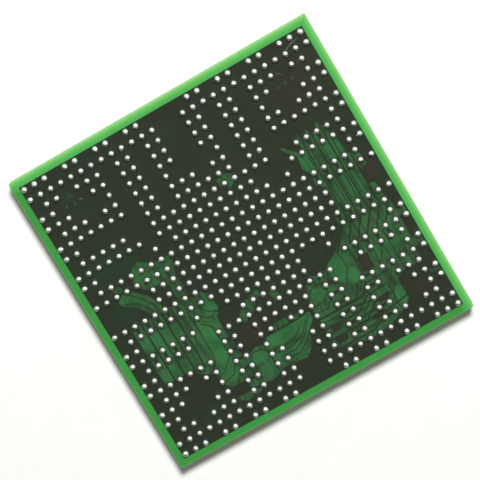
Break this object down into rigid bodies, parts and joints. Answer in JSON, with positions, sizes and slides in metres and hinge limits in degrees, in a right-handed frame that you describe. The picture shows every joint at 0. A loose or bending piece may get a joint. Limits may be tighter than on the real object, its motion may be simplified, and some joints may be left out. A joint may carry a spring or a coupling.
{
  "type": "bga chip",
  "caption": "Square flip-chip ball grid array package on a green laminate substrate, lying on its bare die with its solder balls up.",
  "frame": {"origin": "centre of the die's back face, which is the lowest face and the one that the package lies on", "axes": "+Z out of the ball side, +Y towards ball row A, -X towards ball column 1"},
  "size_m": [0.0232, 0.0232, 0.0023],
  "materials": {
    "silicon": "ground and polished silicon, dark grey and mirror-like",
    "solder": "bright reflowed solder",
    "solder_ball": "bright, smooth reflowed solder",
    "epoxy": "dark filled epoxy, slightly glossy",
    "solder_mask": "green solder mask: nearly black over copper, bright green over bare laminate",
    "gold_plating": "thin gold plating over nickel",
    "tin_plating": "matte tin plating",
    "capacitor_ceramic": "fired ceramic, matte brown",
    "build_up_film": "filled epoxy film, matte sawn edge",
    "core_laminate": "glass-cloth laminate, yellow-green sawn edge",
    "copper": "bare copper foil"
  },
  "bodies": {
    "root": {"flip_chip_die": "silicon", "die_bumps": "solder", "underfill": "epoxy", "die_side_mask": "solder_mask", "first_pin_mark": "gold_plating", "capacitor_lands": "gold_plating", "capacitor_solder": "solder", "capacitor_ends": "tin_plating", "capacitor_bodies": "capacitor_ceramic", "die_side_film": "build_up_film", "core_plane_below": "copper", "core_laminate": "core_laminate", "core_plane_above": "copper", "ball_side_film": "build_up_film", "ball_side_copper": "copper", "ball_side_mask": "solder_mask", "balls_row_a": "solder_ball", "balls_row_b": "solder_ball", "balls_row_c": "solder_ball", "balls_row_d": "solder_ball", "balls_row_e": "solder_ball", "balls_row_f": "solder_ball", "balls_row_g": "solder_ball", "balls_row_h": "solder_ball", "balls_row_j": "solder_ball", "balls_row_k": "solder_ball", "balls_row_l": "solder_ball", "balls_row_m": "solder_ball", "balls_row_n": "solder_ball", "balls_row_p": "solder_ball", "balls_row_r": "solder_ball", "balls_row_t": "solder_ball", "balls_row_u": "solder_ball", "balls_row_v": "solder_ball", "balls_row_w": "solder_ball", "balls_row_y": "solder_ball", "balls_row_aa": "solder_ball", "balls_row_ab": "solder_ball", "balls_row_ac": "solder_ball", "balls_row_ad": "solder_ball", "balls_row_ae": "solder_ball", "balls_row_af": "solder_ball", "balls_row_ag": "solder_ball", "balls_row_ah": "solder_ball"}
  },
  "joints": []
}
